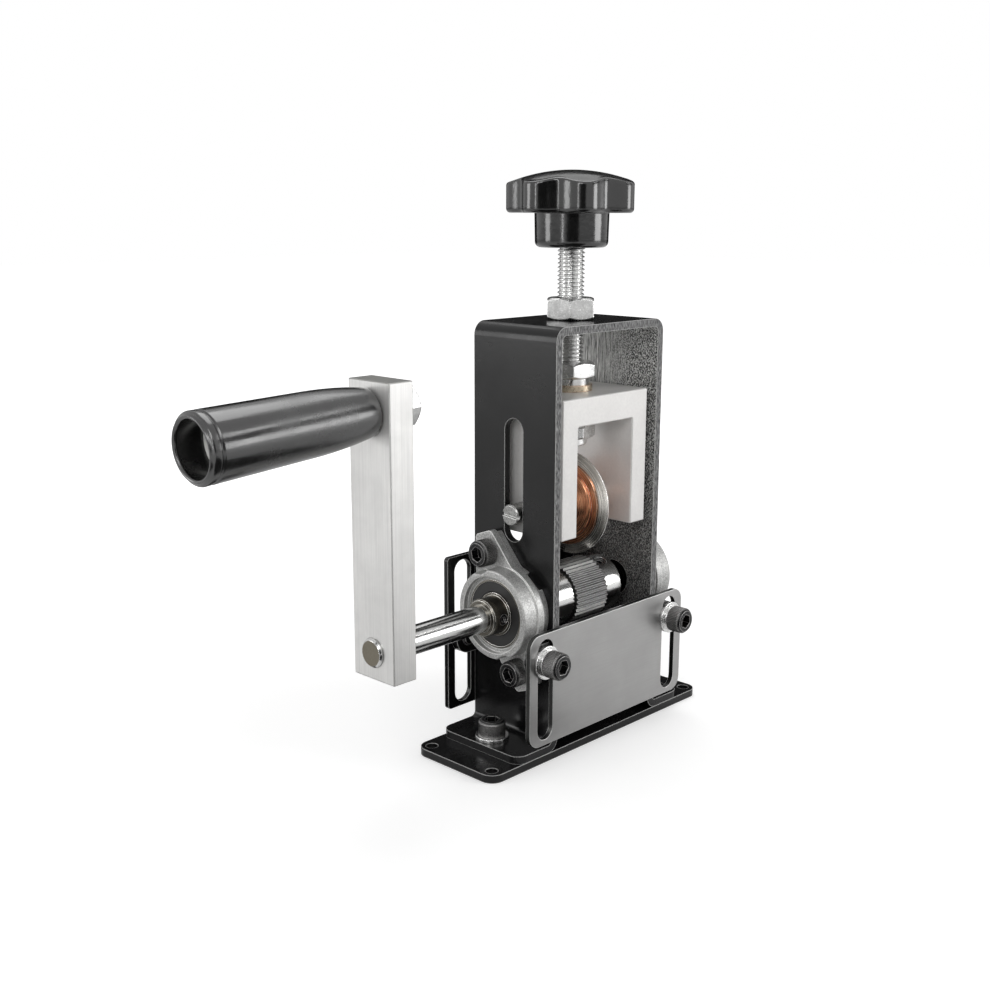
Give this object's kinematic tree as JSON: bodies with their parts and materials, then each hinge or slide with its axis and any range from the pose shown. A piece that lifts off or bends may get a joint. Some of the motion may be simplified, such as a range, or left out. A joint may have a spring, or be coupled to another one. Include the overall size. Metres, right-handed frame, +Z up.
{
  "type": "manual wire stripping machine",
  "caption": "Bench wire stripper: a crank turns a toothed feed roller under a disc blade, and a star knob on a lead screw sets the blade's height in a bent steel frame.",
  "frame": {"origin": "middle of the base plate's underside", "axes": "+X along the feed shaft away from the crank, +Y towards the wire's inlet, +Z up"},
  "size_m": [0.2257, 0.061, 0.2113],
  "materials": {
    "black_paint": "gloss black paint on sheet steel",
    "stainless": "brushed stainless sheet",
    "cast_zinc": "bare light grey casting",
    "bearing_steel": "ground bearing steel",
    "seal_rubber": "matt black",
    "black_oxide": "black oxide",
    "zinc_plate": "bright zinc plating",
    "chrome": "polished steel",
    "aluminium": "satin bare aluminium",
    "tool_steel": "ground tool steel",
    "roller_steel": "dark hardened steel",
    "copper": "bare copper",
    "gloss_black": "gloss black phenolic",
    "grip_black": "polished black plastic"
  },
  "bodies": {
    "base": {"base_plate": "black_paint", "frame": "black_paint", "foot_washers": "zinc_plate", "foot_bolts": "black_oxide", "bearing_housing_left": "cast_zinc", "bearing_housing_right": "cast_zinc", "bearing_outer_ring_left": "bearing_steel", "bearing_outer_ring_right": "bearing_steel", "bearing_seals_left": "seal_rubber", "bearing_seals_right": "seal_rubber", "bearing_bolts": "black_oxide", "top_nut": "zinc_plate", "front_guide_washers": "zinc_plate", "front_spring_washers": "zinc_plate", "front_guide_bolts": "black_oxide", "rear_guide_washers": "zinc_plate", "rear_spring_washers": "zinc_plate", "rear_guide_bolts": "black_oxide"},
    "crank": {"main_shaft": "chrome", "crank_arm": "aluminium", "feed_roller": "roller_steel", "collar_left": "chrome", "collar_right": "chrome", "collar_set_screws": "black_oxide", "bearing_inner_ring_left": "bearing_steel", "bearing_inner_ring_right": "bearing_steel", "bearing_set_screws": "black_oxide", "bearing_balls_left": "chrome", "bearing_balls_right": "chrome", "grip_spindle": "zinc_plate", "spindle_nut": "zinc_plate"},
    "grip": {"grip": "grip_black"},
    "carriage": {"carriage": "aluminium", "blade_axle": "zinc_plate", "spacer_left": "chrome", "spacer_right": "chrome"},
    "blade": {"blade": "tool_steel", "copper_hub_left": "copper", "copper_hub_right": "copper"},
    "screw": {"lead_screw": "zinc_plate", "star_knob": "gloss_black", "upper_nut": "zinc_plate", "split_washer": "zinc_plate", "copper_washer": "copper", "lower_washer": "zinc_plate", "lower_nut": "zinc_plate"},
    "front_plate": {"front_plate": "stainless"},
    "rear_plate": {"rear_plate": "black_paint"}
  },
  "joints": [
    {"name": "crank_spin", "type": "hinge", "parent": "base", "child": "crank", "pos_m": [0, -0.0012, 0.0542], "axis": [1, 0, 0], "continuous": true},
    {"name": "grip_spin", "type": "hinge", "parent": "crank", "child": "grip", "pos_m": [-0.0983, -0.0012, 0.1347], "axis": [-0.9985, 0, -0.0541], "continuous": true},
    {"name": "carriage_slide", "type": "slide", "parent": "base", "child": "carriage", "axis": [0, 0, 1], "range_m": [-0.002, 0.012]},
    {"name": "knob_turn", "type": "hinge", "parent": "carriage", "child": "screw", "pos_m": [0, 0, 0.184], "axis": [0, 0, 1], "range_deg": [-481, 2881]},
    {"name": "blade_spin", "type": "hinge", "parent": "carriage", "child": "blade", "pos_m": [0, 0, 0.0892], "axis": [1, 0, 0], "continuous": true},
    {"name": "front_plate_slide", "type": "slide", "parent": "base", "child": "front_plate", "axis": [0, 0, 1], "range_m": [-0.0044, 0.025]},
    {"name": "rear_plate_slide", "type": "slide", "parent": "base", "child": "rear_plate", "axis": [0, 0, 1], "range_m": [-0.011, 0.022]}
  ],
  "couplings": [
    {"joint": "knob_turn", "follows": "carriage_slide", "rad_per_m": 4188.8}
  ]
}
